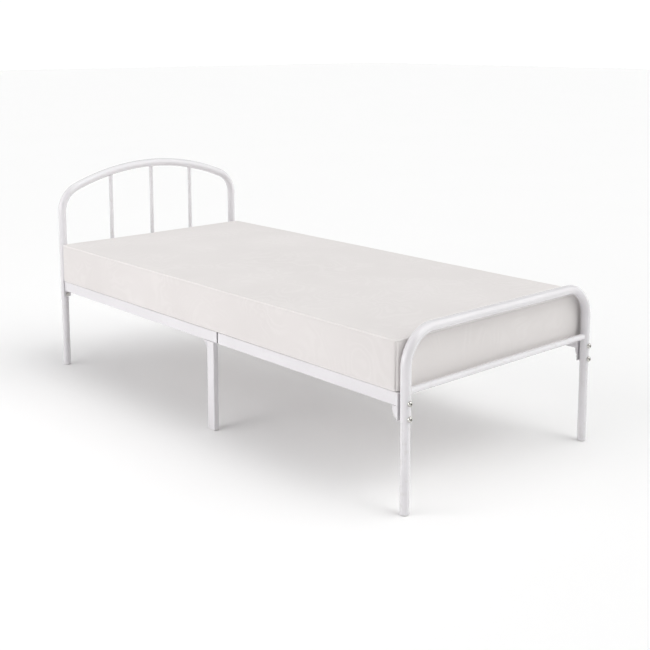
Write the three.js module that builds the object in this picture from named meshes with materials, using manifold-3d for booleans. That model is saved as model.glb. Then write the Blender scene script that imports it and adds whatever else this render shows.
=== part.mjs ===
// A single bed: a bolted steel tube frame in two halves, with a loose mattress.
// Millimetres. +Z up, +Y towards the headboard, +X to the right seen from the foot.
// The origin is on the floor under the middle of the bed.

import * as THREE from 'three';
import { mergeVertices } from 'three/addons/utils/BufferGeometryUtils.js';
import Module from 'manifold-3d';

const wasm = await Module();
wasm.setup();

// ---- Driving dimensions ----

const GAP = 0.3; // between pieces that touch, such as a weld or a bolted face
const STEEL_WALL = 1.2; // wall of every tube

const POST_X = 430; // post centre to the bed's centreline
const END_Y = 968; // post centre to the bed's middle
const BOW_RADIUS = 16; // outside radius of the bent end tubes
const LEG_RADIUS = BOW_RADIUS - STEEL_WALL - GAP; // the legs slide up inside the bows
const BOW_LOW_Z = 274; // lower ends of the bent tubes
const LEG_TOP_Z = 362;

const HEAD_TOP_Z = 810; // headboard tube centre at its highest point
const HEAD_ARCH_RADIUS = 950;
const HEAD_CORNER_RADIUS = 105;
const FOOT_TOP_Z = 534; // footboard tube centre
const FOOT_CORNER_RADIUS = 104;

const CROSS_RAIL_RADIUS = 10;
const CROSS_RAIL_Z = 362;
const SPINDLE_RADIUS = 8;
const SPINDLE_X = [-200, 0, 200];

const RAIL_WIDTH = 20; // along X
const RAIL_HEIGHT = 40;
const RAIL_TOP_Z = 356;
const JOINT_Y = -97; // where the two halves of the frame meet
const RAIL_SETBACK = 3; // from the joint to a rail's end
const FLANGE_THICKNESS = 3; // plate on each rail end that bolts to a post

const MID_LEG_DEPTH = 38; // along Y
const MID_LEG_WIDTH = RAIL_WIDTH;
const MID_LEG_SETBACK = 20; // from the end of its rail
const BEAM_WIDTH = 20; // cross beams beside the joint, along Y
const BEAM_HEIGHT = 30;
const SLAT_WIDTH = 30;
const SLAT_THICKNESS = 12;
const SLATS_PER_HALF = 4;
const CAP_FLANGE = 4; // the part of a foot cap that shows below its tube
const CAP_PLUG = 18; // the part of it inside the tube
const PLATE = 2.5; // thickness of webs and gussets

const BOLT_RADIUS = 4; // M8
const HOLE_RADIUS = BOLT_RADIUS + GAP;
const HEAD_RADIUS = 8.5;
const HEAD_HEIGHT = 6;
const SOCKET_RADIUS = 3.6; // across the corners of the hexagon
const SOCKET_DEPTH = 3.5;
const NUT_RADIUS = 7.5; // across the corners
const NUT_THICKNESS = 6.5;
const BOLT_PROUD = 3; // thread past the nut
const FOOT_BOLT_Z = [331, 286];
const HEAD_BOLT_Z = [346, 302];
const JOINT_BOLT_X = 300;

const MATTRESS_WIDTH = 900;
const MATTRESS_LENGTH = 1900;
const MATTRESS_HEIGHT = 155;
const MATTRESS_CORNER = 14; // rounding of the four upright corners
const MATTRESS_EDGE = 7; // rounding of the top and bottom edges

const ROUND = 8; // curve segments in half a turn of a tube's section
const CORNER_STEPS = 7;
const ARCH_STEPS = 12;

// ---- Places that follow from them ----

const FLANGE_FACE_Y = END_Y - BOW_RADIUS - GAP - FLANGE_THICKNESS;
const RAIL_LOW_Z = RAIL_TOP_Z - RAIL_HEIGHT;
const INNER_FACE_X = POST_X - RAIL_WIDTH / 2 - GAP; // reach of the beams and slats
const MID_LEG_Y = JOINT_Y + RAIL_SETBACK + MID_LEG_SETBACK + MID_LEG_DEPTH / 2;
const BEAM_Z = RAIL_TOP_Z - BEAM_HEIGHT / 2;

// ---- Materials ----

const whiteCoat = () =>
  new THREE.MeshStandardMaterial({ color: 0xf0eef2, roughness: 0.28, metalness: 0.0 });
const whitePlastic = () =>
  new THREE.MeshStandardMaterial({ color: 0xdcdcdc, roughness: 0.5, metalness: 0.0 });
const zinc = () =>
  new THREE.MeshStandardMaterial({ color: 0x9c9a94, roughness: 0.3, metalness: 1.0 });
const ticking = () =>
  new THREE.MeshStandardMaterial({ color: 0xe8e4e3, roughness: 0.9, metalness: 0.0 });

// ---- Solids and booleans ----

function toManifold(geometry) {
  const bare = geometry.clone();
  bare.deleteAttribute('normal');
  bare.deleteAttribute('uv');
  const merged = mergeVertices(bare, 1e-4);
  return new wasm.Manifold(
    new wasm.Mesh({
      numProp: 3,
      vertProperties: new Float32Array(merged.attributes.position.array),
      triVerts: new Uint32Array(merged.index.array),
    }),
  );
}

function toGeometry(solid) {
  const mesh = solid.getMesh();
  const geometry = new THREE.BufferGeometry();
  geometry.setAttribute('position', new THREE.BufferAttribute(mesh.vertProperties, 3));
  geometry.setIndex(new THREE.BufferAttribute(mesh.triVerts, 1));
  geometry.computeVertexNormals();
  return geometry;
}

function cut(geometry, ...tools) {
  return toGeometry(tools.reduce((solid, tool) => solid.subtract(toManifold(tool)), toManifold(geometry)));
}

function join(geometry, ...others) {
  return toGeometry(others.reduce((solid, other) => solid.add(toManifold(other)), toManifold(geometry)));
}

// ---- Basic shapes ----

// A path of straight runs and bends. Each piece of it takes a stated number of steps.
class BentPath extends THREE.Curve {
  constructor(pieces) {
    super();
    this.pieces = pieces;
    this.steps = pieces.reduce((sum, piece) => sum + piece.steps, 0);
  }

  locate(u) {
    let left = u * this.steps;
    for (const piece of this.pieces.slice(0, -1)) {
      if (left <= piece.steps) return [piece.curve, left / piece.steps];
      left -= piece.steps;
    }
    const last = this.pieces.at(-1);
    return [last.curve, Math.min(left / last.steps, 1)];
  }

  getPoint(u, target = new THREE.Vector3()) {
    const [curve, t] = this.locate(u);
    return target.copy(curve.getPoint(t));
  }

  getPointAt(u, target) {
    return this.getPoint(u, target);
  }

  getTangentAt(u, target = new THREE.Vector3()) {
    const [curve, t] = this.locate(u);
    return target.copy(curve.getTangent(t));
  }
}

const straight = (from, to) => ({ curve: new THREE.LineCurve3(from, to), steps: 1 });

// A bend in an upright plane across the bed. Angles are from +X towards +Z.
class UprightArc extends THREE.Curve {
  constructor(x, y, z, radius, from, to) {
    super();
    Object.assign(this, { x, y, z, radius, from, to });
  }

  getPoint(t, target = new THREE.Vector3()) {
    const angle = this.from + (this.to - this.from) * t;
    const across = this.x + this.radius * Math.cos(angle);
    return target.set(across, this.y, this.z + this.radius * Math.sin(angle));
  }

  getTangent(t, target = new THREE.Vector3()) {
    const angle = this.from + (this.to - this.from) * t;
    const turn = Math.sign(this.to - this.from);
    return target.set(-Math.sin(angle) * turn, 0, Math.cos(angle) * turn);
  }
}

function circle(radius) {
  return new THREE.Shape().absarc(0, 0, radius, 0, 2 * Math.PI);
}

function ring(radius, wall) {
  const shape = circle(radius);
  shape.holes.push(new THREE.Path().absarc(0, 0, radius - wall, 0, 2 * Math.PI));
  return shape;
}

function rectangle(path, width, height) {
  path.moveTo(-width / 2, -height / 2);
  path.lineTo(width / 2, -height / 2);
  path.lineTo(width / 2, height / 2);
  path.lineTo(-width / 2, height / 2);
  path.closePath();
  return path;
}

function boxSection(width, height) {
  const shape = rectangle(new THREE.Shape(), width, height);
  shape.holes.push(rectangle(new THREE.Path(), width - 2 * STEEL_WALL, height - 2 * STEEL_WALL));
  return shape;
}

function sweep(section, path) {
  return new THREE.ExtrudeGeometry(section, {
    steps: path.steps,
    curveSegments: ROUND,
    extrudePath: path,
  });
}

// An extrusion that starts at the origin and runs along the given axis.
function prism(section, length, axis, segments = ROUND) {
  const geometry = new THREE.ExtrudeGeometry(section, {
    depth: length,
    bevelEnabled: false,
    curveSegments: segments,
  });
  if (axis === 'x') geometry.rotateZ(Math.PI / 2).rotateY(Math.PI / 2);
  if (axis === 'y') geometry.rotateX(-Math.PI / 2);
  return geometry;
}

// A solid rod along an axis, centred on the origin.
function rod(radius, length, axis) {
  const middle = { x: [-length / 2, 0, 0], y: [0, -length / 2, 0], z: [0, 0, -length / 2] };
  return prism(circle(radius), length, axis).translate(...middle[axis]);
}

// ---- The bent end tubes ----

function headboardPath(y) {
  const cornerX = POST_X - HEAD_CORNER_RADIUS;
  const centreZ = HEAD_TOP_Z - HEAD_ARCH_RADIUS;
  const reach = HEAD_ARCH_RADIUS - HEAD_CORNER_RADIUS;
  const lean = Math.asin(cornerX / reach);
  const cornerZ = centreZ + reach * Math.cos(lean);
  const up = Math.PI / 2;
  const low = (side) => new THREE.Vector3(side * POST_X, y, BOW_LOW_Z);
  const top = (side) => new THREE.Vector3(side * POST_X, y, cornerZ);
  return new BentPath([
    straight(low(-1), top(-1)),
    {
      curve: new UprightArc(-cornerX, y, cornerZ, HEAD_CORNER_RADIUS, Math.PI, up + lean),
      steps: CORNER_STEPS,
    },
    { curve: new UprightArc(0, y, centreZ, HEAD_ARCH_RADIUS, up + lean, up - lean), steps: ARCH_STEPS },
    {
      curve: new UprightArc(cornerX, y, cornerZ, HEAD_CORNER_RADIUS, up - lean, 0),
      steps: CORNER_STEPS,
    },
    straight(top(1), low(1)),
  ]);
}

function footboardPath(y) {
  const cornerX = POST_X - FOOT_CORNER_RADIUS;
  const cornerZ = FOOT_TOP_Z - FOOT_CORNER_RADIUS;
  const up = Math.PI / 2;
  const point = (x, z) => new THREE.Vector3(x, y, z);
  return new BentPath([
    straight(point(-POST_X, BOW_LOW_Z), point(-POST_X, cornerZ)),
    {
      curve: new UprightArc(-cornerX, y, cornerZ, FOOT_CORNER_RADIUS, Math.PI, up),
      steps: CORNER_STEPS,
    },
    straight(point(-cornerX, FOOT_TOP_Z), point(cornerX, FOOT_TOP_Z)),
    {
      curve: new UprightArc(cornerX, y, cornerZ, FOOT_CORNER_RADIUS, up, 0),
      steps: CORNER_STEPS,
    },
    straight(point(POST_X, cornerZ), point(POST_X, BOW_LOW_Z)),
  ]);
}

// The holes that the corner bolts of one end pass through, in both posts.
function cornerHoles(end, heights) {
  const length = 2 * BOW_RADIUS + 20;
  return [-POST_X, POST_X].flatMap((x) =>
    heights.map((z) => rod(HOLE_RADIUS, length, 'y').translate(x, end * END_Y, z)),
  );
}

function bow(path, end, heights) {
  return cut(sweep(ring(BOW_RADIUS, STEEL_WALL), path), ...cornerHoles(end, heights));
}

// ---- Tubes welded across the ends ----

// The post of one end, thick enough to leave a weld gap around it.
function postClearance(x, end) {
  return rod(BOW_RADIUS + GAP, 300, 'z').translate(x, end * END_Y, CROSS_RAIL_Z);
}

function crossRail(end) {
  const tube = prism(ring(CROSS_RAIL_RADIUS, STEEL_WALL), 2 * POST_X, 'x');
  tube.translate(-POST_X, end * END_Y, CROSS_RAIL_Z);
  return cut(tube, postClearance(-POST_X, end), postClearance(POST_X, end));
}

// Height of the headboard tube's centre above a place on its arch.
function archZ(x) {
  return HEAD_TOP_Z - HEAD_ARCH_RADIUS + Math.sqrt(HEAD_ARCH_RADIUS ** 2 - x ** 2);
}

function spindle(x) {
  const tube = prism(ring(SPINDLE_RADIUS, STEEL_WALL), archZ(x) - CROSS_RAIL_Z, 'z');
  tube.translate(x, END_Y, CROSS_RAIL_Z);
  const rail = rod(CROSS_RAIL_RADIUS + GAP, 60, 'x').translate(x, END_Y, CROSS_RAIL_Z);
  return cut(tube, rail, sweep(circle(BOW_RADIUS + GAP), headboardPath(END_Y)));
}

// ---- Legs ----

function leg(x, end, heights) {
  const tube = prism(ring(LEG_RADIUS, STEEL_WALL), LEG_TOP_Z - CAP_FLANGE - GAP, 'z');
  tube.translate(x, end * END_Y, CAP_FLANGE + GAP);
  return cut(tube, ...cornerHoles(end, heights));
}

function roundCap() {
  const plug = LEG_RADIUS - STEEL_WALL - GAP;
  const outline = [
    [0, 0],
    [LEG_RADIUS - 2, 0],
    [LEG_RADIUS, 2],
    [LEG_RADIUS, CAP_FLANGE],
    [plug, CAP_FLANGE],
    [plug, CAP_FLANGE + CAP_PLUG],
    [0, CAP_FLANGE + CAP_PLUG],
  ].map(([r, z]) => new THREE.Vector2(r, z));
  return new THREE.LatheGeometry(outline, 2 * ROUND).rotateX(Math.PI / 2);
}

function midLeg(side) {
  const length = RAIL_LOW_Z - CAP_FLANGE - 2 * GAP;
  const tube = prism(boxSection(MID_LEG_WIDTH, MID_LEG_DEPTH), length, 'z');
  return tube.translate(side * POST_X, MID_LEG_Y, CAP_FLANGE + GAP);
}

function squareCap() {
  const inside = 2 * (STEEL_WALL + GAP);
  const flange = new THREE.BoxGeometry(MID_LEG_WIDTH, MID_LEG_DEPTH, CAP_FLANGE);
  flange.translate(0, 0, CAP_FLANGE / 2);
  const plug = new THREE.BoxGeometry(MID_LEG_WIDTH - inside, MID_LEG_DEPTH - inside, CAP_PLUG + 1);
  plug.translate(0, 0, CAP_FLANGE + CAP_PLUG / 2 - 0.5);
  return join(flange, plug);
}

// A hollow quarter curve between the side rail and the head side of a middle leg.
function midLegGusset(side) {
  const reach = 22;
  const shape = new THREE.Shape();
  shape.moveTo(0, 0);
  shape.lineTo(reach, 0);
  shape.quadraticCurveTo(reach * 0.3, -reach * 0.3, 0, -reach);
  shape.closePath();
  const plate = new THREE.ExtrudeGeometry(shape, {
    depth: PLATE,
    bevelEnabled: false,
    curveSegments: 6,
  });
  // The outline's first axis runs towards the head and its second one up.
  plate.rotateX(Math.PI / 2).rotateZ(Math.PI / 2);
  const outerFace = side * (POST_X + RAIL_WIDTH / 2);
  const x = side > 0 ? outerFace - PLATE : outerFace;
  const y = MID_LEG_Y + MID_LEG_DEPTH / 2 + GAP;
  return plate.translate(x, y, RAIL_LOW_Z - GAP);
}

// ---- Side rails, brackets, beams and slats ----

function sideRail(side, end) {
  const outer = FLANGE_FACE_Y - GAP;
  const inner = end * JOINT_Y + RAIL_SETBACK;
  const tube = prism(boxSection(RAIL_WIDTH, RAIL_HEIGHT), outer - inner, 'y');
  tube.translate(0, inner, 0);
  if (end < 0) tube.rotateZ(Math.PI);
  return tube.translate(side * POST_X, 0, RAIL_TOP_Z - RAIL_HEIGHT / 2);
}

// The plate that bolts to the post. At the foot it carries a rounded web under the rail.
function endBracket(side, end) {
  const top = RAIL_TOP_Z;
  const low = end > 0 ? HEAD_BOLT_Z[1] - 10 : FOOT_BOLT_Z[1] - 9;
  const face = new THREE.BoxGeometry(2 * BOW_RADIUS, FLANGE_THICKNESS, top - low);
  face.translate(0, -FLANGE_THICKNESS / 2, (top + low) / 2);
  const heights = end > 0 ? HEAD_BOLT_Z : FOOT_BOLT_Z;
  const holes = heights.map((z) => rod(HOLE_RADIUS, 20, 'y').translate(0, 0, z));
  const bare = cut(face, ...holes);
  const plate = end > 0 ? bare : join(bare, bracketWeb(side, low));
  if (end < 0) plate.rotateZ(Math.PI);
  return plate.translate(side * POST_X, end * (END_Y - BOW_RADIUS - GAP), 0);
}

// The web hangs from the rail, in line with the rail's outer face, and its end is a quarter round.
function bracketWeb(side, low) {
  const reach = 26;
  const high = RAIL_LOW_Z - GAP;
  const shape = new THREE.Shape();
  shape.moveTo(0, low);
  shape.lineTo(0, high);
  shape.lineTo(-reach, high);
  shape.lineTo(-reach, high - 4);
  shape.quadraticCurveTo(-reach, low + 6, -FLANGE_THICKNESS, low);
  shape.closePath();
  const web = new THREE.ExtrudeGeometry(shape, {
    depth: PLATE,
    bevelEnabled: false,
    curveSegments: 6,
  });
  web.rotateX(Math.PI / 2).rotateZ(Math.PI / 2);
  // Turned about for the foot afterwards, so its outer face is on the other side here.
  const outer = -side * (RAIL_WIDTH / 2);
  return web.translate(outer > 0 ? outer - PLATE : outer, 0, 0);
}

function crossBeam(end) {
  const width = 2 * INNER_FACE_X;
  const tube = prism(boxSection(BEAM_WIDTH, BEAM_HEIGHT), width, 'x');
  const y = JOINT_Y + (end * (BEAM_WIDTH + GAP)) / 2;
  tube.translate(-width / 2, y, BEAM_Z);
  const holes = [-1, 1].map((side) =>
    rod(HOLE_RADIUS, 3 * BEAM_WIDTH, 'y').translate(side * JOINT_BOLT_X, y, BEAM_Z),
  );
  return cut(tube, ...holes);
}

function slat(y) {
  const width = 2 * INNER_FACE_X;
  const tube = prism(boxSection(SLAT_WIDTH, SLAT_THICKNESS), width, 'x');
  return tube.translate(-width / 2, y, RAIL_TOP_Z - SLAT_THICKNESS / 2);
}

function slatPlaces(end) {
  const start = JOINT_Y + end * BEAM_WIDTH;
  const pitch = (end * FLANGE_FACE_Y - start) / (SLATS_PER_HALF + 0.5);
  return Array.from({ length: SLATS_PER_HALF }, (_, i) => start + pitch * (i + 1));
}

// ---- Fasteners. Each is built along +Y with its head's seat at y = 0 ----

function bolt(grip) {
  const tip = grip + NUT_THICKNESS + BOLT_PROUD;
  const outline = [
    [0, -HEAD_HEIGHT],
    [HEAD_RADIUS * 0.55, -HEAD_HEIGHT],
    [HEAD_RADIUS * 0.88, -HEAD_HEIGHT * 0.7],
    [HEAD_RADIUS, -HEAD_HEIGHT * 0.25],
    [HEAD_RADIUS, 0],
    [BOLT_RADIUS, 0],
    [BOLT_RADIUS, tip - 1],
    [BOLT_RADIUS - 1, tip],
    [0, tip],
  ].map(([r, y]) => new THREE.Vector2(r, y));
  const body = new THREE.LatheGeometry(outline, 12);
  const socket = prism(circle(SOCKET_RADIUS), 2 * SOCKET_DEPTH, 'y', 3);
  return cut(body, socket.translate(0, -HEAD_HEIGHT - SOCKET_DEPTH, 0));
}

function nut() {
  const outside = prism(circle(NUT_RADIUS), NUT_THICKNESS, 'y', 3);
  return cut(outside, rod(BOLT_RADIUS + GAP, 3 * NUT_THICKNESS, 'y'));
}

// ---- Mattress ----

function mattress() {
  const w = MATTRESS_WIDTH / 2 - MATTRESS_EDGE;
  const l = MATTRESS_LENGTH / 2 - MATTRESS_EDGE;
  const r = MATTRESS_CORNER - MATTRESS_EDGE;
  const shape = new THREE.Shape();
  shape.absarc(w - r, l - r, r, 0, Math.PI / 2);
  shape.absarc(r - w, l - r, r, Math.PI / 2, Math.PI);
  shape.absarc(r - w, r - l, r, Math.PI, 1.5 * Math.PI);
  shape.absarc(w - r, r - l, r, 1.5 * Math.PI, 2 * Math.PI);
  shape.closePath();
  const block = new THREE.ExtrudeGeometry(shape, {
    depth: MATTRESS_HEIGHT - 2 * MATTRESS_EDGE,
    bevelThickness: MATTRESS_EDGE,
    bevelSize: MATTRESS_EDGE,
    bevelSegments: 2,
    curveSegments: 4,
  });
  return block.translate(0, 0, MATTRESS_EDGE);
}

// ---- The assembly ----

const bed = new THREE.Group();

function add(parent, name, geometry, material, x = 0, y = 0, z = 0) {
  const mesh = new THREE.Mesh(geometry, material);
  mesh.name = name;
  mesh.position.set(x, y, z);
  parent.add(mesh);
  return mesh;
}

const ENDS = [
  { name: 'head', end: 1, bolts: HEAD_BOLT_Z },
  { name: 'foot', end: -1, bolts: FOOT_BOLT_Z },
];
const SIDES = [
  { name: 'left', side: -1 },
  { name: 'right', side: 1 },
];

function addEndFrames() {
  add(bed, 'headboard_bow', bow(headboardPath(END_Y), 1, HEAD_BOLT_Z), whiteCoat());
  add(bed, 'footboard_bow', bow(footboardPath(-END_Y), -1, FOOT_BOLT_Z), whiteCoat());
  add(bed, 'headboard_cross_rail', crossRail(1), whiteCoat());
  add(bed, 'footboard_cross_rail', crossRail(-1), whiteCoat());
  SPINDLE_X.forEach((x, i) => add(bed, `headboard_spindle_${i + 1}`, spindle(x), whiteCoat()));
}

function addCorner({ name: endName, end, bolts }, { name: sideName, side }) {
  const place = `${endName}_${sideName}`;
  const x = side * POST_X;
  add(bed, `${place}_leg`, leg(x, end, bolts), whiteCoat());
  add(bed, `${place}_foot_cap`, roundCap(), whitePlastic(), x, end * END_Y, 0);
  add(bed, `${place}_side_rail`, sideRail(side, end), whiteCoat());
  add(bed, `${place}_end_bracket`, endBracket(side, end), whiteCoat());
  const grip = 2 * BOW_RADIUS + GAP + FLANGE_THICKNESS + 2 * GAP;
  const fasteners = new THREE.Group();
  fasteners.position.set(x, end * (END_Y + BOW_RADIUS + GAP), 0);
  fasteners.rotation.z = end > 0 ? Math.PI : 0;
  bed.add(fasteners);
  ['upper', 'lower'].forEach((height, i) => {
    add(fasteners, `${place}_${height}_bolt`, bolt(grip), zinc(), 0, 0, bolts[i]);
    add(fasteners, `${place}_${height}_nut`, nut(), zinc(), 0, grip + GAP, bolts[i]);
  });
}

function addMiddle({ name, side }) {
  add(bed, `middle_${name}_leg`, midLeg(side), whiteCoat());
  add(bed, `middle_${name}_leg_gusset`, midLegGusset(side), whiteCoat());
  add(bed, `middle_${name}_foot_cap`, squareCap(), whitePlastic(), side * POST_X, MID_LEG_Y, 0);
  const grip = 2 * BEAM_WIDTH + 3 * GAP;
  const x = side * JOINT_BOLT_X;
  const seat = JOINT_Y - grip / 2;
  add(bed, `joint_${name}_bolt`, bolt(grip), zinc(), x, seat, BEAM_Z);
  add(bed, `joint_${name}_nut`, nut(), zinc(), x, seat + grip + GAP, BEAM_Z);
}

function addSupport({ name, end }) {
  add(bed, `${name}_half_cross_beam`, crossBeam(end), whiteCoat());
  slatPlaces(end).forEach((y, i) => add(bed, `${name}_half_slat_${i + 1}`, slat(y), whiteCoat()));
}

addEndFrames();
ENDS.forEach((end) => SIDES.forEach((side) => addCorner(end, side)));
SIDES.forEach(addMiddle);
ENDS.forEach(addSupport);
add(bed, 'mattress', mattress(), ticking(), 0, 0, RAIL_TOP_Z + 0.5);

export default bed;
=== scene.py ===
import math

import bmesh
import bpy
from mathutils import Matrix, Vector, noise
from mathutils.bvhtree import BVHTree


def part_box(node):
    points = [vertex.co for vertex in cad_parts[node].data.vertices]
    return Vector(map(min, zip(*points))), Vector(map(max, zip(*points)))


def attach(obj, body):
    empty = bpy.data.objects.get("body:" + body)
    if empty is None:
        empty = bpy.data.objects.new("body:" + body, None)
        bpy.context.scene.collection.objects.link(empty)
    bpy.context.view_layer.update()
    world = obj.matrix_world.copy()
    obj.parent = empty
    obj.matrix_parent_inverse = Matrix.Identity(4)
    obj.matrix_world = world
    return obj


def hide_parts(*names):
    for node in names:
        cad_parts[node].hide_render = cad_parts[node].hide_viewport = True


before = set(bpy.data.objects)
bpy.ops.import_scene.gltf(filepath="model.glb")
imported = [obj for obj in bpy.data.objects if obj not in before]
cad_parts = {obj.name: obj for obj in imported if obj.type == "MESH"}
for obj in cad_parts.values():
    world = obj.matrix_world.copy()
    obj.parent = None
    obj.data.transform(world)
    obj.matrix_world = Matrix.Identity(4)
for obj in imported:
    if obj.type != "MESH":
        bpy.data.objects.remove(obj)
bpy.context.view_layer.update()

# ---- Sizes, in metres ----

WALL = 0.0012  # of every round tube
TUBE_LIP = 0.0004  # rounding of an end tube's cut edges
ROUND = 48  # points round a tube
HEAD_CORNER_RADIUS = 0.105
HEAD_ARCH_RADIUS = 0.950
FOOT_CORNER_RADIUS = 0.104
BEND_STEP = math.radians(2.5)  # between rings in a tight bend
BEND_WIDENING = 0.015  # how much wider and flatter a tube is in the middle of a bend
BEND_FLATTENING = 0.035
POST_STEP = 0.030  # between rings in a straight run

RAIL_ROUNDING = 0.003
SLAT_ROUNDING = 0.0015
RAIL_WALL = 0.0015  # of every rectangular tube
RAIL_LIP = 0.0003  # rounding of a rectangular tube's cut edges
LEAST_ROUNDING = 0.0004  # of any inset rectangle's corners
CORNER_STEPS = 5  # along each rounded corner of a rail
QUARTERS = ((1, 1), (-1, 1), (-1, -1), (1, -1))  # signs of x and y, anticlockwise

PLATE_ROUNDING = 0.0008
ROUNDED_FROM = math.radians(30)  # a plate's edge that turns more than this is rounded
SHARP = math.radians(38)  # a mesh edge that turns more than this is shaded sharp

BEAD_RADIUS = 0.0017  # weld beads
BEAD_PITCH = 0.0022  # between ripples
BEAD_RIPPLE = 0.00022
BEAD_SIDES = 8
BEAD_STEPS = 72  # round each joint

BOLT_RADIUS = 0.004
HEAD_RADIUS = 0.0085
HEAD_HEIGHT = 0.006
HEAD_LIP = 0.0003  # bevel at the seat
DOME_FLAT = 0.62  # radius of the head's flat top, as a share of HEAD_RADIUS
DOME_HEIGHT = 0.72  # as a share of HEAD_HEIGHT
DOME_STEPS = 8
SOCKET_RADIUS = 0.0036
SOCKET_DEPTH = 0.0035
SOCKET_TIP = 0.0008  # depth of the drill point under the socket
SOCKET_MOUTH = 1.12  # how much wider the socket is at its mouth
SOCKET_FLARE = 0.0004  # depth over which it widens
THREAD_LENGTH = 0.014
THREAD_STEPS = 56
THREAD_PITCH = 0.00125
THREAD_DEPTH = 0.0006
TIP_SHARE = 0.7  # radius of the shank's end, as a share of BOLT_RADIUS
NUT_CHAMFER = 0.0063  # radius of a nut's chamfer at its faces
NUT_CHAMFER_SLOPE = math.tan(math.radians(60))
NUT_STEP = 0.0003  # between the rings of the chamfer
NUT_BEVEL = 0.0006  # at both mouths of the bore
NUT_CLEARANCE = 0.0002

CAP_FLANGE = 0.004  # thickness of a foot cap under the leg's end
PLUG_CLEARANCE = 0.0003
PLUG_TAPER = 0.002  # height of the taper, which is half as wide
# Insets from a foot cap's side and heights above the floor, up to the top of its flange.
ROUND_CAP_SIDE = (
    (0.0024, 0.0), (0.0011, 0.0004), (0.0003, 0.0012), (0.0, 0.0022),
    (0.0, CAP_FLANGE - 0.0004), (0.0004, CAP_FLANGE),
)
SQUARE_CAP_SIDE = (
    (0.0018, 0.0), (0.0006, 0.0005), (0.0, 0.0018),
    (0.0, CAP_FLANGE - 0.0003), (0.0004, CAP_FLANGE),
)

EDGE_ROUNDING = 0.011  # of the mattress
CORNER_ROUNDING = 0.014
EDGE_ANGLES = (0, 12, 24, 35, 45)  # degrees, where the cover's mesh follows a rounded edge
GRID = 0.016  # of the cover's mesh
START_INSET = 0.0016  # the cover starts this much inside its box, and pressure fills it out
COVER_FRAMES = 20
FIRMNESS = 0.09  # share of the swelling that is kept, because the foam core holds the cover back
MOVE_CAP = 0.005  # furthest that any point of the cover moves
RESTING = 0.0022  # what ends up this close to the rails and slats is pressed flat on them
TOP_FROM = 0.06  # the unevenness of the top starts this far above the underside
UNEVENNESS = 0.0012  # height of the waves in the top
UNEVEN_SCALE = 5  # waves to a metre, roughly
CORD_RADIUS = 0.0027
CORD_SIDES = 12
CORD_SUNK = 0.25  # share of its radius that the cord is pulled into the cover
SEAM_CORNER_STEPS = 8  # along each upright corner
SEAM_STEP = 0.010  # between points of the cord's line
SEAM_AIM = 0.012  # depth inside the edge at which the search for the cover is aimed
SEAM_REACH = 0.05  # how far outside that point the search starts

CAMERA_PLACE = (-2.5503, -2.9804, 1.3418)
CAMERA_YAW = math.radians(42.066)  # from +Y towards +X
CAMERA_PITCH = math.radians(8.258)  # below level
LENS = 59.88
SENSOR = 36.0
SHIFT_Y = -0.2

# ---- Colours: a pair is the darkest and the lightest of a material's clouding ----

POWDER_WHITES = ((0.715, 0.698, 0.720), (0.740, 0.723, 0.745))
POWDER_SCUFF = (0.62, 0.60, 0.58)
TICKING_WHITES = ((0.700, 0.670, 0.660), (0.725, 0.695, 0.685))
TICKING_SWIRL = (0.78, 0.75, 0.74)
CORD_WHITES = ((0.765, 0.735, 0.725), (0.80, 0.77, 0.76))
ZINC_GREYS = ((0.50, 0.49, 0.46), (0.74, 0.73, 0.70))
CAP_GREY = (0.72, 0.71, 0.71)
CAP_SCUFF = (0.40, 0.39, 0.38)
FLOOR_WHITES = ((0.925, 0.925, 0.925), (0.935, 0.935, 0.935))
SOFTBOX_WHITE = (1.0, 0.985, 0.99)

# ---- Floor and light ----

FLOOR_REACH = 40.0
# The sky is a bright band at the horizon under a dimmer dome, with a dark gap near the camera's side, and
# softboxes as soft-edged patches. Edges are cosines of the angle from a direction, or the sine of a height.
HORIZON = 1.04
HORIZON_EDGE = (0.18, 0.34)
OVERHEAD = 0.46
GAP_DIRECTION = (-0.454, -0.891, 0.0)
GAP_STRENGTH = 0.04
GAP_EDGE = (0.72, 0.86)
# The direction, strength, edge and colour of each patch.
PATCHES = (
    ((-0.86, 0.25, 0.45), 1.25, (0.84, 0.94), SOFTBOX_WHITE),
    ((0.45, -0.66, 0.60), 1.50, (0.72, 0.95), (0.99, 1.0, 0.985)),
    ((0.0, -0.10, 1.0), 0.84, (0.80, 0.95), (1.0, 0.995, 1.0)),
    ((0.10, -0.55, 0.83), 2.30, (0.972, 0.99), (1.0, 1.0, 1.0)),
)
SIDE_LIGHT_SIZE = 1.2
SIDE_LIGHT_ENERGY = 9.5
SIDE_LIGHT_PLACE = (-2.6, 0.3, 0.75)
SIDE_LIGHT_AIM = (-0.43, 0.6, 0.4)


# ---- Camera ----

def add_camera():
    data = bpy.data.cameras.new("camera")
    data.lens = LENS
    data.sensor_width = SENSOR
    data.shift_y = SHIFT_Y
    camera = bpy.data.objects.new("camera", data)
    camera.location = CAMERA_PLACE
    camera.rotation_euler = (math.pi / 2 - CAMERA_PITCH, 0.0, -CAMERA_YAW)
    bpy.context.scene.collection.objects.link(camera)
    bpy.context.scene.camera = camera


# ---- Materials ----

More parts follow.
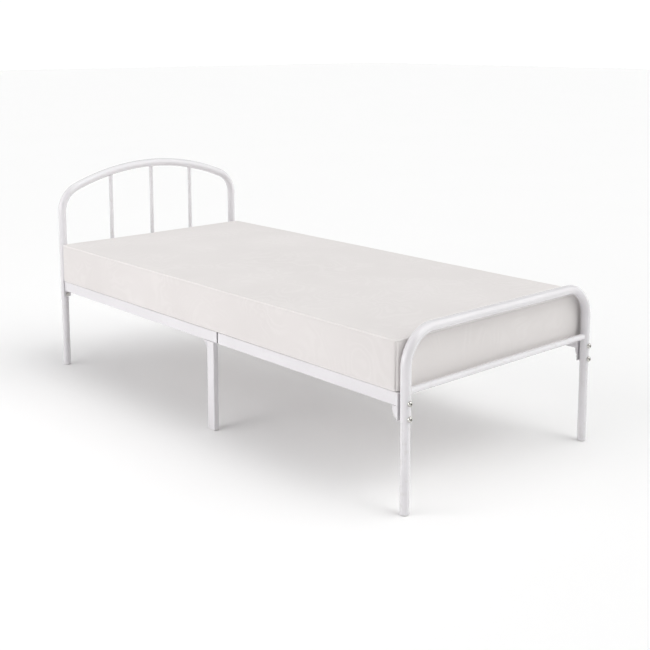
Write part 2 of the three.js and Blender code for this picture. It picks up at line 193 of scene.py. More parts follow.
class Nodes:
    """Short calls for building a material's node tree."""

    def __init__(self, name):
        self.material = bpy.data.materials.new(name)
        self.material.use_nodes = True
        self.tree = self.material.node_tree
        self.shader = self.tree.nodes["Principled BSDF"]
        coordinates = self.tree.nodes.new("ShaderNodeTexCoord")
        self.place = coordinates.outputs["Object"]

    def link(self, source, target):
        self.tree.links.new(source, target)

    def shade(self, **sources):
        """Links sources to the shader's own sockets, with _ for a space."""
        for name, source in sources.items():
            self.link(source, self.shader.inputs[name.replace("_", " ")])

    def set(self, **values):
        """Sets the shader's own sockets, with _ for a space."""
        for name, value in values.items():
            self.shader.inputs[name.replace("_", " ")].default_value = value

    def noise(self, scale, detail=2.0, distortion=0.0):
        node = self.tree.nodes.new("ShaderNodeTexNoise")
        node.inputs["Scale"].default_value = scale
        node.inputs["Detail"].default_value = detail
        node.inputs["Distortion"].default_value = distortion
        self.link(self.place, node.inputs["Vector"])
        return node.outputs["Fac"]

    def diagonal_bands(self, scale):
        node = self.tree.nodes.new("ShaderNodeTexWave")
        node.bands_direction = "DIAGONAL"
        node.inputs["Scale"].default_value = scale
        self.link(self.place, node.inputs["Vector"])
        return node.outputs["Fac"]

    def ramp(self, source, low, high, start=0.0, stop=1.0):
        node = self.tree.nodes.new("ShaderNodeMapRange")
        node.inputs["From Min"].default_value = low
        node.inputs["From Max"].default_value = high
        node.inputs["To Min"].default_value = start
        node.inputs["To Max"].default_value = stop
        self.link(source, node.inputs["Value"])
        return node.outputs["Result"]

    def math(self, operation, a, b):
        node = self.tree.nodes.new("ShaderNodeMath")
        node.operation = operation
        for socket, value in zip(node.inputs, (a, b)):
            if isinstance(value, (int, float)):
                socket.default_value = value
            else:
                self.link(value, socket)
        return node.outputs["Value"]

    def mix(self, factor, a, b):
        node = self.tree.nodes.new("ShaderNodeMix")
        node.data_type = "RGBA"
        self.link(factor, node.inputs["Factor"])
        for key, value in (("A", a), ("B", b)):
            socket = [i for i in node.inputs if i.name == key and i.type == "RGBA"][0]
            if isinstance(value, tuple):
                socket.default_value = (*value, 1.0)
            else:
                self.link(value, socket)
        return [o for o in node.outputs if o.type == "RGBA"][0]

    def bump(self, height, strength, distance, under=None):
        node = self.tree.nodes.new("ShaderNodeBump")
        node.inputs["Strength"].default_value = strength
        node.inputs["Distance"].default_value = distance
        self.link(height, node.inputs["Height"])
        if under is not None:
            self.link(under, node.inputs["Normal"])
        return node.outputs["Normal"]


def powder_coat():
    """White gloss powder coat: orange peel, faint clouding, and scuffs where edges and feet wear."""
    n = Nodes("white_powder_coat")
    clouds = n.ramp(n.noise(5.0, detail=4.0), 0.35, 0.65)
    white = n.mix(clouds, *POWDER_WHITES)
    geometry = n.tree.nodes.new("ShaderNodeNewGeometry")
    edges = n.ramp(geometry.outputs["Pointiness"], 0.55, 0.62)
    scuffs = n.math("MULTIPLY", edges, n.ramp(n.noise(60.0, detail=5.0), 0.55, 0.68, 0.0, 0.35))
    n.shade(
        Base_Color=n.mix(scuffs, white, POWDER_SCUFF),
        Roughness=n.ramp(n.noise(9.0, detail=3.0), 0.3, 0.7, 0.14, 0.22),
        Normal=n.bump(n.noise(520.0, detail=1.0), 0.05, 0.0002),
    )
    n.set(Coat_Weight=0.7, Coat_Roughness=0.05, IOR=1.5)
    return n.material


def ticking():
    """Off-white knitted mattress cover with a swirled tone-on-tone pattern."""
    n = Nodes("mattress_ticking")
    bends = n.math("MULTIPLY", n.noise(5.0, detail=1.0, distortion=1.5), 60.0)
    swirls = n.ramp(n.math("SINE", bends, 0.0), -0.2, 0.8)
    patches = n.ramp(n.noise(6.5, detail=1.0), 0.42, 0.58)
    pattern = n.math("MULTIPLY", swirls, patches)
    clouds = n.ramp(n.noise(3.0, detail=3.0), 0.35, 0.65)
    plain = n.mix(clouds, *TICKING_WHITES)
    rows = n.diagonal_bands(420.0)
    loops = n.math("MULTIPLY", rows, n.noise(900.0, detail=1.0))
    knit = n.bump(loops, 0.25, 0.0004)
    raised = n.bump(pattern, 0.12, 0.0008, under=knit)
    n.shade(
        Base_Color=n.mix(n.math("MULTIPLY", pattern, 0.22), plain, TICKING_SWIRL),
        Roughness=n.ramp(pattern, 0.0, 1.0, 0.92, 0.78),
        Normal=n.bump(n.noise(9.0), 0.12, 0.003, under=raised),
    )
    n.set(Sheen_Weight=0.25, Sheen_Roughness=0.5, Specular_IOR_Level=0.25)
    return n.material


def seam_cord():
    """Woven tape round the mattress edges."""
    n = Nodes("mattress_seam")
    weave = n.diagonal_bands(520.0)
    clouds = n.ramp(n.noise(30.0, detail=3.0), 0.3, 0.7)
    n.shade(
        Base_Color=n.mix(clouds, *CORD_WHITES),
        Roughness=n.ramp(weave, 0.0, 1.0, 0.7, 0.85),
        Normal=n.bump(weave, 0.3, 0.0004),
    )
    n.set(Sheen_Weight=0.2, Specular_IOR_Level=0.3)
    return n.material


def zinc():
    """Bright zinc plate, dulled in patches."""
    n = Nodes("zinc_plate")
    patches = n.ramp(n.noise(180.0, detail=4.0), 0.35, 0.7)
    n.shade(
        Base_Color=n.mix(patches, *ZINC_GREYS),
        Roughness=n.ramp(n.noise(400.0, detail=3.0), 0.3, 0.7, 0.12, 0.26),
        Normal=n.bump(n.noise(1200.0), 0.15, 0.0002),
    )
    n.set(Metallic=1.0)
    return n.material


def cap_plastic():
    """Moulded foot caps, scuffed grey where they slide on the floor."""
    n = Nodes("foot_cap_plastic")
    height = n.tree.nodes.new("ShaderNodeSeparateXYZ")
    n.link(n.place, height.inputs["Vector"])
    low = n.ramp(height.outputs["Z"], 0.0, CAP_FLANGE, 1.0, 0.0)
    worn = n.math("MULTIPLY", low, n.ramp(n.noise(220.0, detail=4.0), 0.4, 0.65, 0.2, 1.0))
    n.shade(
        Base_Color=n.mix(worn, CAP_GREY, CAP_SCUFF),
        Roughness=n.ramp(n.noise(90.0), 0.3, 0.7, 0.42, 0.58),
        Normal=n.bump(n.noise(1500.0, detail=1.0), 0.2, 0.0002),
    )
    return n.material


def floor_paint():
    """Matt white studio floor."""
    n = Nodes("floor")
    n.shade(Base_Color=n.mix(n.noise(0.8), *FLOOR_WHITES))
    n.set(Roughness=0.9, Specular_IOR_Level=0.1)
    return n.material


# ---- Meshes ----

def to_object(name, bm, material):
    """Turns a bmesh into a scene object, shaded smooth but for its sharp edges."""
    bmesh.ops.recalc_face_normals(bm, faces=bm.faces[:])
    for face in bm.faces:
        face.smooth = True
    for edge in bm.edges:
        edge.smooth = edge.calc_face_angle(0.0) < SHARP
    mesh = bpy.data.meshes.new(name)
    bm.to_mesh(mesh)
    bm.free()
    mesh.materials.append(material)
    obj = bpy.data.objects.new(name, mesh)
    bpy.context.scene.collection.objects.link(obj)
    return obj


def stand_for(obj, body, slot, *nodes):
    """Says which body carries a piece and which nodes it replaces. The slot argument is not used."""
    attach(obj, body)
    if nodes:
        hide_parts(*nodes)
    return obj


def add_skin(bm, rings, closed=False):
    """Faces between neighbouring rings of points. A closed skin joins its last ring to its first, and an open
    one is capped at both ends."""
    loops = [[bm.verts.new(p) for p in ring] for ring in rings]
    pairs = list(zip(loops, loops[1:]))
    if closed:
        pairs.append((loops[-1], loops[0]))
    for a, b in pairs:
        for i in range(len(a)):
            j = (i + 1) % len(a)
            bm.faces.new((a[i], a[j], b[j], b[i]))
    if not closed:
        bm.faces.new(loops[0])
        bm.faces.new(loops[-1])


def circle_at(centre, across, up, radius, count=ROUND, wide=1.0, flat=1.0):
    """Points on a circle, or on an oval when wide or flat isn't 1."""
    points = []
    for i in range(count):
        angle = 2 * math.pi * i / count
        side = across * (radius * wide * math.cos(angle))
        points.append(centre + side + up * (radius * flat * math.sin(angle)))
    return points


# ---- Bent end tubes ----

X_AXIS = Vector((1, 0, 0))
Y_AXIS = Vector((0, 1, 0))
Z_AXIS = Vector((0, 0, 1))


def bent_stations(post_x, y, low_z, top_z, corner_radius, arch_radius=None):
    """Centre, direction and share of bend at each step along an end tube, from the left foot to the right."""
    corner_x = post_x - corner_radius
    if arch_radius:
        lean = math.asin(corner_x / (arch_radius - corner_radius))
        arch_z = top_z - arch_radius
        corner_z = arch_z + (arch_radius - corner_radius) * math.cos(lean)
    else:
        lean = 0.0
        corner_z = top_z - corner_radius
    up = math.pi / 2
    stations = []

    def run(start, stop):
        count = max(1, round((stop - start).length / POST_STEP))
        for i in range(count + 1):
            stations.append((start.lerp(stop, i / count), (stop - start).normalized(), 0.0))

    def bend(x, z, radius, start, stop, bent):
        count = max(2, round(abs(stop - start) / BEND_STEP * math.sqrt(radius / corner_radius)))
        for i in range(count + 1):
            angle = start + (stop - start) * i / count
            centre = Vector((x + radius * math.cos(angle), y, z + radius * math.sin(angle)))
            direction = Vector((math.sin(angle), 0, -math.cos(angle)))
            stations.append((centre, direction, bent * math.sin(math.pi * i / count) ** 0.5))

    run(Vector((-post_x, y, low_z)), Vector((-post_x, y, corner_z)))
    bend(-corner_x, corner_z, corner_radius, math.pi, up + lean, 1.0)
    if arch_radius:
        bend(0.0, arch_z, arch_radius, up + lean, up - lean, 0.0)
    else:
        run(Vector((-corner_x, y, top_z)), Vector((corner_x, y, top_z)))
    bend(corner_x, corner_z, corner_radius, up - lean, 0.0, 1.0)
    run(Vector((post_x, y, corner_z)), Vector((post_x, y, low_z)))
    kept = stations[:1]
    for station in stations[1:]:
        if (station[0] - kept[-1][0]).length > 1e-5:
            kept.append(station)
    return kept


def tube_rings(stations, radius):
    """A ring at each station. Bends are slightly flattened, as a bent tube is."""
    rings = []
    for centre, direction, bent in stations:
        outward = direction.cross(Y_AXIS)
        wide = 1 + BEND_WIDENING * bent
        flat = 1 - BEND_FLATTENING * bent
        rings.append(circle_at(centre, Y_AXIS, outward, radius, wide=wide, flat=flat))
    return rings


def lipped(stations, radius):
    """Rings of a hollow tube: outside, rounded end, inside, rounded end."""
    lip = TUBE_LIP
    first, last = stations[0], stations[-1]
    inset_first = (first[0] + first[1] * lip, first[1], first[2])
    inset_last = (last[0] - last[1] * lip, last[1], last[2])
    middle = stations[1:-1]
    outside = [inset_first, *middle, inset_last]
    inside = [inset_last, *reversed(middle[::3]), inset_first]
    return [
        *tube_rings([first], radius - lip),
        *tube_rings(outside, radius),
        *tube_rings([last], radius - lip),
        *tube_rings([last], radius - WALL + lip),
        *tube_rings(inside, radius - WALL),
        *tube_rings([first], radius - WALL + lip),
    ]


def end_tube(name, node, corner_radius, arch_radius, material):
    """Both posts and the arch or hoop between them, as one bent tube."""
    low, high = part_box(node)
    radius = (high.y - low.y) / 2
    post_x = high.x - radius
    y = (low.y + high.y) / 2
    stations = bent_stations(post_x, y, low.z, high.z - radius, corner_radius, arch_radius)
    bm = bmesh.new()
    add_skin(bm, lipped(stations, radius), closed=True)
    obj = to_object(name, bm, material)
    return stand_for(obj, "frame", "white_powder_coat", node)


# ---- Straight tubes, with ends coped to what they meet ----

def unit(axis):
    """The unit vector of an axis, counted round from X."""
    return Vector([1.0 if i == axis % 3 else 0.0 for i in range(3)])


def coped_ring(centre, axis, radius, end, count=ROUND):
    """Points round a tube's end. end gives the place along the axis at which each point stops."""
    direction, across = unit(axis), unit(axis + 1)
    points = circle_at(centre, across, direction.cross(across), radius, count)
    for point in points:
        point[axis] = end(point)
    return points


def straight_tube(name, node, axis, material, start=None, stop=None):
    """A hollow round tube in place of a node. An end without a function of its own is square."""
    low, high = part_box(node)
    centre = (low + high) / 2
    radius = (high[(axis + 1) % 3] - low[(axis + 1) % 3]) / 2
    start = start or (lambda point: low[axis])
    stop = stop or (lambda point: high[axis])
    rings = [
        coped_ring(centre, axis, radius, start),
        coped_ring(centre, axis, radius, stop),
        coped_ring(centre, axis, radius - WALL, stop),
        coped_ring(centre, axis, radius - WALL, start),
    ]
    bm = bmesh.new()
    add_skin(bm, rings, closed=True)
    return stand_for(to_object(name, bm, material), "frame", "white_powder_coat", node)


def add_bead(bm, points):
    """A rippled weld bead along a closed line of points."""
    off_line = Vector((0.31, 0.57, 0.76))  # no joint's line runs this way
    travelled = 0.0
    rings = []
    for i, point in enumerate(points):
        before = points[i - 1]
        after = points[(i + 1) % len(points)]
        along = (after - before).normalized()
        travelled += (point - before).length if i else 0.0
        side = along.cross(off_line).normalized()
        ripple = BEAD_RIPPLE * math.sin(2 * math.pi * travelled / BEAD_PITCH)
        rings.append(circle_at(point, side, along.cross(side), BEAD_RADIUS + ripple, BEAD_SIDES))
    add_skin(bm, rings, closed=True)


def weld(name, loops, material):
    """A piece made of one bead along each loop."""
    bm = bmesh.new()
    for points in loops:
        add_bead(bm, points)
    return stand_for(to_object(name, bm, material), "frame", "white_powder_coat")


# ---- Rectangular tubes ----

def rounded_rectangle(width, height, rounding):
    """Points round a rectangle about the origin, anticlockwise."""
    points = []
    for turn, (sx, sy) in enumerate(QUARTERS):
        for i in range(CORNER_STEPS + 1):
            angle = math.pi / 2 * (turn + i / CORNER_STEPS)
            x = sx * (width / 2 - rounding) + rounding * math.cos(angle)
            y = sy * (height / 2 - rounding) + rounding * math.sin(angle)
            points.append((x, y))
    return points


def inset_rectangle(width, height, rounding, inset):
    """A rounded rectangle set in on all sides, with tighter corners to match."""
    return rounded_rectangle(width - 2 * inset, height - 2 * inset, max(rounding - inset, LEAST_ROUNDING))


def rectangular_tube(name, node, axis, rounding, material):
    """A hollow rectangular tube with slightly rounded ends, in place of a node."""
    low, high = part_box(node)
    centre = (low + high) / 2
    a, b = (axis + 1) % 3, (axis + 2) % 3
    width, height = high[a] - low[a], high[b] - low[b]

    def ring(inset, place):
        points = []
        for u, v in inset_rectangle(width, height, rounding, inset):
            point = Vector()
            point[a], point[b], point[axis] = centre[a] + u, centre[b] + v, place
            points.append(point)
        return points

    start, stop = low[axis], high[axis]
    rings = [
        ring(RAIL_LIP, start),
        ring(0.0, start + RAIL_LIP),
        ring(0.0, stop - RAIL_LIP),
        ring(RAIL_LIP, stop),
        ring(RAIL_WALL - RAIL_LIP, stop),
        ring(RAIL_WALL, stop - RAIL_LIP),
        ring(RAIL_WALL, start + RAIL_LIP),
        ring(RAIL_WALL - RAIL_LIP, start),
    ]
    bm = bmesh.new()
    add_skin(bm, rings, closed=True)
    return stand_for(to_object(name, bm, material), "frame", "white_powder_coat", node)


# ---- Plates: the CAD shape with its edges rounded ----

def round_edges(node, material):
    """Keeps a plate's CAD mesh and rounds its edges."""
    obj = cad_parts[node]
    obj.data.materials.clear()
    obj.data.materials.append(material)
    flatten = obj.modifiers.new("join_flat_faces", "DECIMATE")
    flatten.decimate_type = "DISSOLVE"
    flatten.angle_limit = math.radians(1.0)
    bevel = obj.modifiers.new("rounded_edges", "BEVEL")
    bevel.limit_method = "ANGLE"
    bevel.angle_limit = ROUNDED_FROM
    bevel.width = PLATE_ROUNDING
    bevel.segments = 3
    bevel.harden_normals = True


# ---- Fasteners ----

def hexagon(radius, angle):
    """Distance from a hexagon's centre to its outline, for a corner radius and a direction."""
    sixth = math.pi / 3
    return radius * math.cos(sixth / 2) / math.cos((angle % sixth) - sixth / 2)


def turned(place, direction, profile):
    """Rings of a solid along Y. Each profile entry is a distance and a radius, or a function that gives the
    radius for an angle."""
    rings = []
    for along, radius in profile:
        ring = []
        for i in range(ROUND):
            angle = 2 * math.pi * i / ROUND
            r = radius(angle) if callable(radius) else radius
            offset = Vector((r * math.cos(angle), direction * along, r * math.sin(angle)))
            ring.append(place + offset)
        rings.append(ring)
    return rings


def head_profile():
    """From the drill point under the socket, out of the socket and over the dome to the seat at 0."""
    def socket(angle):
        return hexagon(SOCKET_RADIUS, angle)

    def mouth(angle):
        return hexagon(SOCKET_RADIUS * SOCKET_MOUTH, angle)

    top = -HEAD_HEIGHT
    profile = [
        (top + SOCKET_DEPTH + SOCKET_TIP, SOCKET_TIP / 2),
        (top + SOCKET_DEPTH, socket),
        (top + SOCKET_FLARE, socket),
        (top, mouth),
        (top, HEAD_RADIUS * DOME_FLAT),
    ]
    for i in range(1, DOME_STEPS + 1):
        turn = math.pi / 2 * i / DOME_STEPS
        drop = HEAD_HEIGHT * DOME_HEIGHT * (1 - math.cos(turn))
        profile.append((top + drop, HEAD_RADIUS * (DOME_FLAT + (1 - DOME_FLAT) * math.sin(turn))))
    return profile + [(-HEAD_LIP, HEAD_RADIUS), (0.0, HEAD_RADIUS - HEAD_LIP), (0.0, BOLT_RADIUS)]


def thread_profile(length):
    """The thread at the end of a shank. It fades in over four steps, and out over the last three."""
    def groove(along, depth):
        def radius(angle):
            turns = along / THREAD_PITCH - angle / (2 * math.pi)
            return BOLT_RADIUS - depth * abs((turns % 1.0) * 2 - 1)
        return radius

    start = length - THREAD_LENGTH
    profile = [(start, BOLT_RADIUS)]
    for i in range(1, THREAD_STEPS + 1):
        along = start + THREAD_LENGTH * i / THREAD_STEPS
        fade = min(1.0, i / 4, (THREAD_STEPS - i) / 3 + 0.3)
        profile.append((along, groove(along, fade * THREAD_DEPTH)))
    return profile + [(length, BOLT_RADIUS * TIP_SHARE)]


def bolt(node, material):
    """A low domed head with a hexagon socket, and a shank whose thread shows past the nut."""
    low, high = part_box(node)
    direction = 1 if node.startswith(("foot", "joint")) else -1
    seat = low.y + HEAD_HEIGHT if direction > 0 else high.y - HEAD_HEIGHT
    place = Vector(((low.x + high.x) / 2, seat, (low.z + high.z) / 2))
    length = high.y - low.y - HEAD_HEIGHT
    bm = bmesh.new()
    add_skin(bm, turned(place, direction, head_profile() + thread_profile(length)))
    return stand_for(to_object("fine_" + node, bm, material), "frame", "zinc_fastener", node)


def nut(node, material):
    """A hexagon nut, chamfered at both faces."""
    low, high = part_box(node)
    place = Vector(((low.x + high.x) / 2, low.y, (low.z + high.z) / 2))
    thick = high.y - low.y
    radius = (high.x - low.x) / 2
    bore = BOLT_RADIUS + NUT_CLEARANCE
    mouth = bore + NUT_BEVEL

    def outside(from_face):
        return lambda angle: min(hexagon(radius, angle), NUT_CHAMFER + from_face * NUT_CHAMFER_SLOPE)

    heights = [NUT_STEP * i for i in range(4)]
    profile = [(h, outside(h)) for h in heights]
    profile += [(thick - h, outside(h)) for h in reversed(heights)]
    profile += [(thick, mouth), (thick - NUT_BEVEL, bore), (NUT_BEVEL, bore), (0.0, mouth)]
    bm = bmesh.new()
    add_skin(bm, turned(place, 1, profile), closed=True)
    return stand_for(to_object("fine_" + node, bm, material), "frame", "zinc_fastener", node)


# ---- Foot caps ----

def cap_profile(side, plug_inset, top):
    """Insets and heights from the sole over the flange to the tapered top of the plug."""
    plug = [
        (plug_inset, CAP_FLANGE),
        (plug_inset, top - PLUG_TAPER),
        (plug_inset + PLUG_TAPER / 2, top),
    ]
    return [*side, *plug]


def foot_cap(node, rings, material):
    """Skins a cap's rings and puts it in place of its node."""
    bm = bmesh.new()
    add_skin(bm, rings)
    return stand_for(to_object("fine_" + node, bm, material), "frame", "foot_cap_plastic", node)


def round_cap(node, material):
    """The cap of a round leg: a flange under the tube and a plug inside it."""
    low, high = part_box(node)
    centre = (low + high) / 2
    radius = (high.x - low.x) / 2
    rings = []
    for inset, z in cap_profile(ROUND_CAP_SIDE, WALL + PLUG_CLEARANCE, high.z):
        rings.append(circle_at(Vector((centre.x, centre.y, z)), X_AXIS, Y_AXIS, radius - inset))
    return foot_cap(node, rings, material)


def square_cap(node, material):
    """The cap of a rectangular leg."""
    low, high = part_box(node)
    centre = (low + high) / 2
    rings = []
    for inset, z in cap_profile(SQUARE_CAP_SIDE, RAIL_WALL, high.z):
        outline = inset_rectangle(high.x - low.x, high.y - low.y, RAIL_ROUNDING, inset)
        rings.append([Vector((centre.x + x, centre.y + y, z)) for x, y in outline])
    return foot_cap(node, rings, material)


# ---- Mattress ----

def graded(half):
    """Places along one axis of the block: close together round its edges, even between them."""
    r = EDGE_ROUNDING
    edge = [half - r + r * math.tan(math.radians(a)) for a in EDGE_ANGLES]
    count = max(2, round(2 * (half - r) / GRID))
    even = [-(half - r) + 2 * (half - r) * i / count for i in range(1, count)]
    return [-e for e in reversed(edge)] + even + edge


def soften(point, half):
    """Rounds the block's edges, then its four upright corners."""
    r = EDGE_ROUNDING
    core = Vector([max(-(h - r), min(h - r, c)) for c, h in zip(point, half)])
    away = point - core
    if away.length > 1e-9:
        point = core + away.normalized() * r
    dx = abs(point.x) - (half.x - CORNER_ROUNDING)
    dy = abs(point.y) - (half.y - CORNER_ROUNDING)
    if dx > 0 and dy > 0:
        reach = max(dx, dy) / math.hypot(dx, dy)
        point.x = math.copysign(half.x - CORNER_ROUNDING + dx * reach, point.x)
        point.y = math.copysign(half.y - CORNER_ROUNDING + dy * reach, point.y)
    return point


def block_mesh(centre, half):
    """The mattress as a block of quads with rounded edges and corners."""
    bm = bmesh.new()
    for axis in range(3):
        a, b = (axis + 1) % 3, (axis + 2) % 3
        us, vs = graded(half[a]), graded(half[b])
        for side in (-1, 1):
            grid = []
            for u in us:
                row = []
                for v in vs:
                    point = Vector()
                    point[a], point[b], point[axis] = u, v, side * half[axis]
                    row.append(bm.verts.new(centre + soften(point, half)))
                grid.append(row)
            for i in range(len(us) - 1):
                for j in range(len(vs) - 1):
                    bm.faces.new((grid[i][j], grid[i + 1][j], grid[i + 1][j + 1], grid[i][j + 1]))
    bmesh.ops.remove_doubles(bm, verts=bm.verts[:], dist=1e-6)
    return bm


def inflate(obj):
    """Fills the cover out with cloth simulation. No point moves further than MOVE_CAP."""
    rest = [v.co.copy() for v in obj.data.vertices]
    cloth = obj.modifiers.new("cover", "CLOTH")
    settings = cloth.settings
    settings.quality = 4
    settings.mass = 0.4
    settings.tension_stiffness = 80
    settings.compression_stiffness = 80
    settings.shear_stiffness = 32
    settings.bending_stiffness = 20
    settings.use_pressure = True
    settings.uniform_pressure_force = 1.0
    settings.effector_weights.gravity = 0.0
    cloth.collision_settings.use_collision = False
    scene = bpy.context.scene
    for step in range(1, COVER_FRAMES + 1):
        scene.frame_set(step)
    settled = obj.evaluated_get(bpy.context.evaluated_depsgraph_get())
    filled = [v.co.copy() for v in settled.data.vertices]
    obj.modifiers.remove(cloth)
    scene.frame_set(1)
    for vertex, before, after in zip(obj.data.vertices, rest, filled):
        move = (after - before) * FIRMNESS
        if move.length > MOVE_CAP:
            move *= MOVE_CAP / move.length
        vertex.co = before + move


def settle_flat(obj, floor_z):
    """The underside lies flat on the rails and slats, and the top has a faint unevenness."""
    for vertex in obj.data.vertices:
        x, y, z = vertex.co
        if z < floor_z + RESTING:
            vertex.co.z = floor_z
        elif z > floor_z + TOP_FROM:
            vertex.co.z += UNEVENNESS * noise.noise(Vector((x * UNEVEN_SCALE, y * UNEVEN_SCALE, 0.3)))


def mattress_cover(material):
    """The padded cover, filled out and then settled on its supports."""
    low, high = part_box("mattress")
    inset = Vector((START_INSET,) * 3)
    centre = (low + high) / 2
    bm = block_mesh(centre, (high - low) / 2 - inset)
    obj = to_object("mattress_cover", bm, material)
    inflate(obj)
    settle_flat(obj, low.z)
    finer = obj.modifiers.new("finer", "SUBSURF")
    finer.levels = finer.render_levels = 1
    stand_for(obj, "mattress", "mattress_ticking", "mattress")
    return obj


def outline_points(half):
    """Points round the mattress's plan, anticlockwise, with the direction out of it at each."""
    points = []
    for turn, (sx, sy) in enumerate(QUARTERS):
        middle = Vector((sx * (half.x - CORNER_ROUNDING), sy * (half.y - CORNER_ROUNDING), 0))
        for i in range(SEAM_CORNER_STEPS + 1):
            angle = math.pi / 2 * (turn + i / SEAM_CORNER_STEPS)
            out = Vector((math.cos(angle), math.sin(angle), 0))
            points.append((middle + out * CORNER_ROUNDING, out))
    dense = []
    for (a, out_a), (b, out_b) in zip(points, points[1:] + points[:1]):
        count = max(1, round((b - a).length / SEAM_STEP))
        for i in range(count):
            dense.append((a.lerp(b, i / count), out_a.lerp(out_b, i / count).normalized()))
    return dense


def seam_line(surface, centre, half, edge_z, up):
    """Points on the cover's rounded edge, found by looking back at it from outside."""
    line = []
    for point, out in outline_points(half):
        slope = (out + up).normalized()
        inner = Vector((centre.x, centre.y, edge_z)) + point - out * SEAM_AIM - up * SEAM_AIM
        hit = surface.ray_cast(inner + slope * SEAM_REACH, -slope, 2 * SEAM_REACH)[0]
        line.append(hit - slope * (CORD_RADIUS * CORD_SUNK))
    return line


def cord_rings(line):
    """Rings of a round cord along a closed line."""
    rings = []
    for i, place in enumerate(line):
        along = (line[(i + 1) % len(line)] - line[i - 1]).normalized()
        side = along.cross(Z_AXIS).normalized()
        rings.append(circle_at(place, side, along.cross(side), CORD_RADIUS, CORD_SIDES))
    return rings


def mattress_seams(cover, material):
    """A cord sewn into the seam round the top edge, and one round the bottom edge."""
    surface = BVHTree.FromObject(cover, bpy.context.evaluated_depsgraph_get())
    low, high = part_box("mattress")
    centre, half = (low + high) / 2, (high - low) / 2
    for name, edge_z, up in (("top", high.z, Z_AXIS), ("bottom", low.z, -Z_AXIS)):
        bm = bmesh.new()
        add_skin(bm, cord_rings(seam_line(surface, centre, half, edge_z, up)), closed=True)
        seam = to_object(f"mattress_{name}_seam", bm, material)
        stand_for(seam, "mattress", "mattress_ticking")


# ---- The bed ----

def build_frame(white, grey, metal):
    """Everything but the mattress."""
    end_tube("headboard_tube", "headboard_bow", HEAD_CORNER_RADIUS, HEAD_ARCH_RADIUS, white)
    end_tube("footboard_tube", "footboard_bow", FOOT_CORNER_RADIUS, None, white)
    build_cross_rails(white)
    build_spindles(white)
    for end in ("head", "foot"):
        for side in ("left", "right"):
            place = f"{end}_{side}"
            straight_tube(f"fine_{place}_leg", f"{place}_leg", 2, white)
            round_cap(f"{place}_foot_cap", grey)
            rectangular_tube(f"fine_{place}_side_rail", f"{place}_side_rail", 1, RAIL_ROUNDING, white)
            round_edges(f"{place}_end_bracket", white)
            for height in ("upper", "lower"):
                bolt(f"{place}_{height}_bolt", metal)
                nut(f"{place}_{height}_nut", metal)
        rectangular_tube(f"fine_{end}_half_cross_beam", f"{end}_half_cross_beam", 0, SLAT_ROUNDING, white)
        for i in range(1, 5):
            name = f"{end}_half_slat_{i}"
            rectangular_tube("fine_" + name, name, 0, SLAT_ROUNDING, white)
    for side in ("left", "right"):
        rectangular_tube(f"fine_middle_{side}_leg", f"middle_{side}_leg", 2, RAIL_ROUNDING, white)
        square_cap(f"middle_{side}_foot_cap", grey)
        round_edges(f"middle_{side}_leg_gusset", white)
        bolt(f"joint_{side}_bolt", metal)
        nut(f"joint_{side}_nut", metal)


def build_cross_rails(white):
    """The straight rails between the posts of each end, coped round the posts and welded."""
    for end in ("head", "foot"):
        low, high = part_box(f"{end}board_bow")
        post_radius = (high.y - low.y) / 2
        post_x, post_y = high.x - post_radius, (low.y + high.y) / 2
        node = f"{end}board_cross_rail"
        rail_low, rail_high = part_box(node)
        centre = (rail_low + rail_high) / 2
        radius = (rail_high.z - rail_low.z) / 2

        def right_post(point):
            return post_x - math.sqrt(post_radius ** 2 - (point.y - post_y) ** 2)

        def left_post(point):
            return -right_post(point)

        straight_tube("fine_" + node, node, 0, white, start=left_post, stop=right_post)
        loops = [coped_ring(centre, 0, radius, post, BEAD_STEPS) for post in (left_post, right_post)]
        weld(f"{end}board_rail_welds", loops, white)


def build_spindles(white):
    """The headboard's bars, coped into the arch above and onto the cross rail below."""
    bow_low, bow_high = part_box("headboard_bow")
    bow_radius = (bow_high.y - bow_low.y) / 2
    rail_low, rail_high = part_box("headboard_cross_rail")
    rail_radius = (rail_high.z - rail_low.z) / 2
    rail_z = (rail_low.z + rail_high.z) / 2
    y = (bow_low.y + bow_high.y) / 2
    arch_z = bow_high.z - bow_radius - HEAD_ARCH_RADIUS

    def under_arch(point):
        across = math.sqrt(bow_radius ** 2 - (point.y - y) ** 2)
        return arch_z + math.sqrt((HEAD_ARCH_RADIUS - across) ** 2 - point.x ** 2)

    def on_rail(point):
        return rail_z + math.sqrt(rail_radius ** 2 - (point.y - y) ** 2)

    loops = []
    for i in range(1, 4):
        node = f"headboard_spindle_{i}"
        straight_tube("fine_" + node, node, 2, white, start=on_rail, stop=under_arch)
        low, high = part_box(node)
        centre, radius = (low + high) / 2, (high.x - low.x) / 2
        loops += [coped_ring(centre, 2, radius, joint, BEAD_STEPS) for joint in (under_arch, on_rail)]
    weld("headboard_spindle_welds", loops, white)


# ---- Studio ----

def add_floor():
    """A plain floor that reaches the horizon."""
    corners = [(sx * FLOOR_REACH, sy * FLOOR_REACH, 0) for sx, sy in QUARTERS]
    mesh = bpy.data.meshes.new("floor")
    mesh.from_pydata(corners, [], [(0, 1, 2, 3)])
    mesh.materials.append(floor_paint())
    floor = bpy.data.objects.new("floor", mesh)
    bpy.context.scene.collection.objects.link(floor)


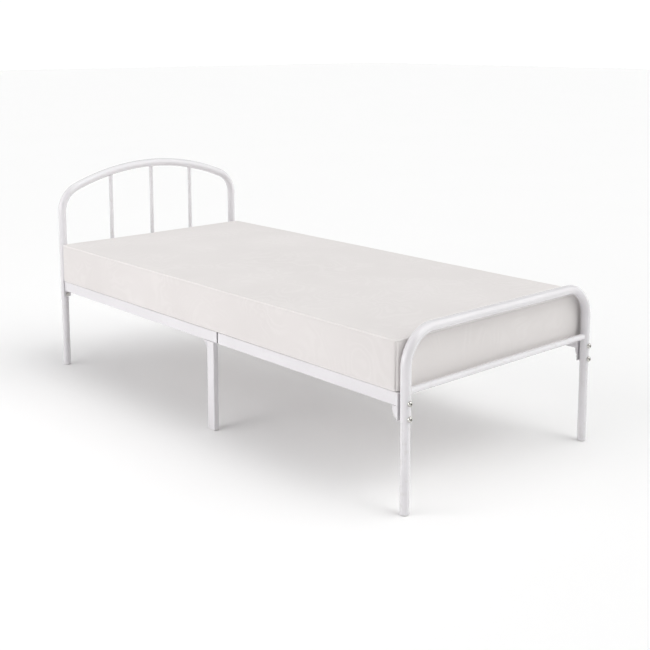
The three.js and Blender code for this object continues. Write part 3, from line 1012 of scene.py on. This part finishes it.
def add_sky():
    """The studio's light from all round, as a procedural world."""
    world = bpy.data.worlds.new("studio")
    world.use_nodes = True
    bpy.context.scene.world = world
    tree = world.node_tree
    background = tree.nodes["Background"]
    direction = tree.nodes.new("ShaderNodeTexCoord").outputs["Generated"]

    def ramp(source, edge, start, stop):
        node = tree.nodes.new("ShaderNodeMapRange")
        node.interpolation_type = "SMOOTHSTEP"
        node.inputs["From Min"].default_value, node.inputs["From Max"].default_value = edge
        node.inputs["To Min"].default_value = start
        node.inputs["To Max"].default_value = stop
        tree.links.new(source, node.inputs["Value"])
        return node.outputs["Result"]

    def towards(vector, source):
        node = tree.nodes.new("ShaderNodeVectorMath")
        node.operation = "DOT_PRODUCT"
        node.inputs[1].default_value = Vector(vector).normalized()
        tree.links.new(source, node.inputs[0])
        return node.outputs["Value"]

    def mixed(kind, factor, a, b):
        node = tree.nodes.new("ShaderNodeMix")
        node.data_type = "RGBA"
        node.blend_type = kind
        sockets = [i for i in node.inputs if i.type == "RGBA"]
        for socket, value in ((node.inputs["Factor"], factor), (sockets[0], a), (sockets[1], b)):
            if isinstance(value, (int, float, tuple)):
                socket.default_value = value
            else:
                tree.links.new(value, socket)
        return [o for o in node.outputs if o.type == "RGBA"][0]

    level = tree.nodes.new("ShaderNodeVectorMath")
    level.operation = "MULTIPLY"
    level.inputs[1].default_value = (1.0, 1.0, 0.0)
    tree.links.new(direction, level.inputs[0])
    flat = tree.nodes.new("ShaderNodeVectorMath")
    flat.operation = "NORMALIZE"
    tree.links.new(level.outputs["Vector"], flat.inputs[0])

    def grey(value):
        return (value, value, value, 1.0)

    band = ramp(towards(Z_AXIS, direction), HORIZON_EDGE, 1.0, 0.0)
    total = mixed("MIX", band, grey(OVERHEAD), grey(HORIZON))
    gap = ramp(towards(GAP_DIRECTION, flat.outputs["Vector"]), GAP_EDGE, 0.0, 1.0)
    total = mixed("MIX", gap, total, grey(GAP_STRENGTH))
    for vector, strength, edge, colour in PATCHES:
        patch = ramp(towards(vector, direction), edge, 0.0, 1.0)
        total = mixed("ADD", patch, total, tuple(strength * c for c in colour) + (1.0,))
    tree.links.new(total, background.inputs["Color"])


def add_side_light():
    """A round softbox low on the left, level with the head half."""
    data = bpy.data.lights.new("side_light", "AREA")
    data.shape = "DISK"
    data.size = SIDE_LIGHT_SIZE
    data.energy = SIDE_LIGHT_ENERGY
    data.color = SOFTBOX_WHITE
    light = bpy.data.objects.new("side_light", data)
    light.location = SIDE_LIGHT_PLACE
    light.rotation_euler = (Vector(SIDE_LIGHT_AIM) - light.location).to_track_quat("-Z", "Y").to_euler()
    bpy.context.scene.collection.objects.link(light)


def main():
    add_camera()
    white, grey, metal = powder_coat(), cap_plastic(), zinc()
    build_frame(white, grey, metal)
    cover = mattress_cover(ticking())
    mattress_seams(cover, seam_cord())
    add_floor()
    add_sky()
    add_side_light()
    bpy.context.scene.view_settings.view_transform = "Standard"


main()
bpy.context.view_layer.update()
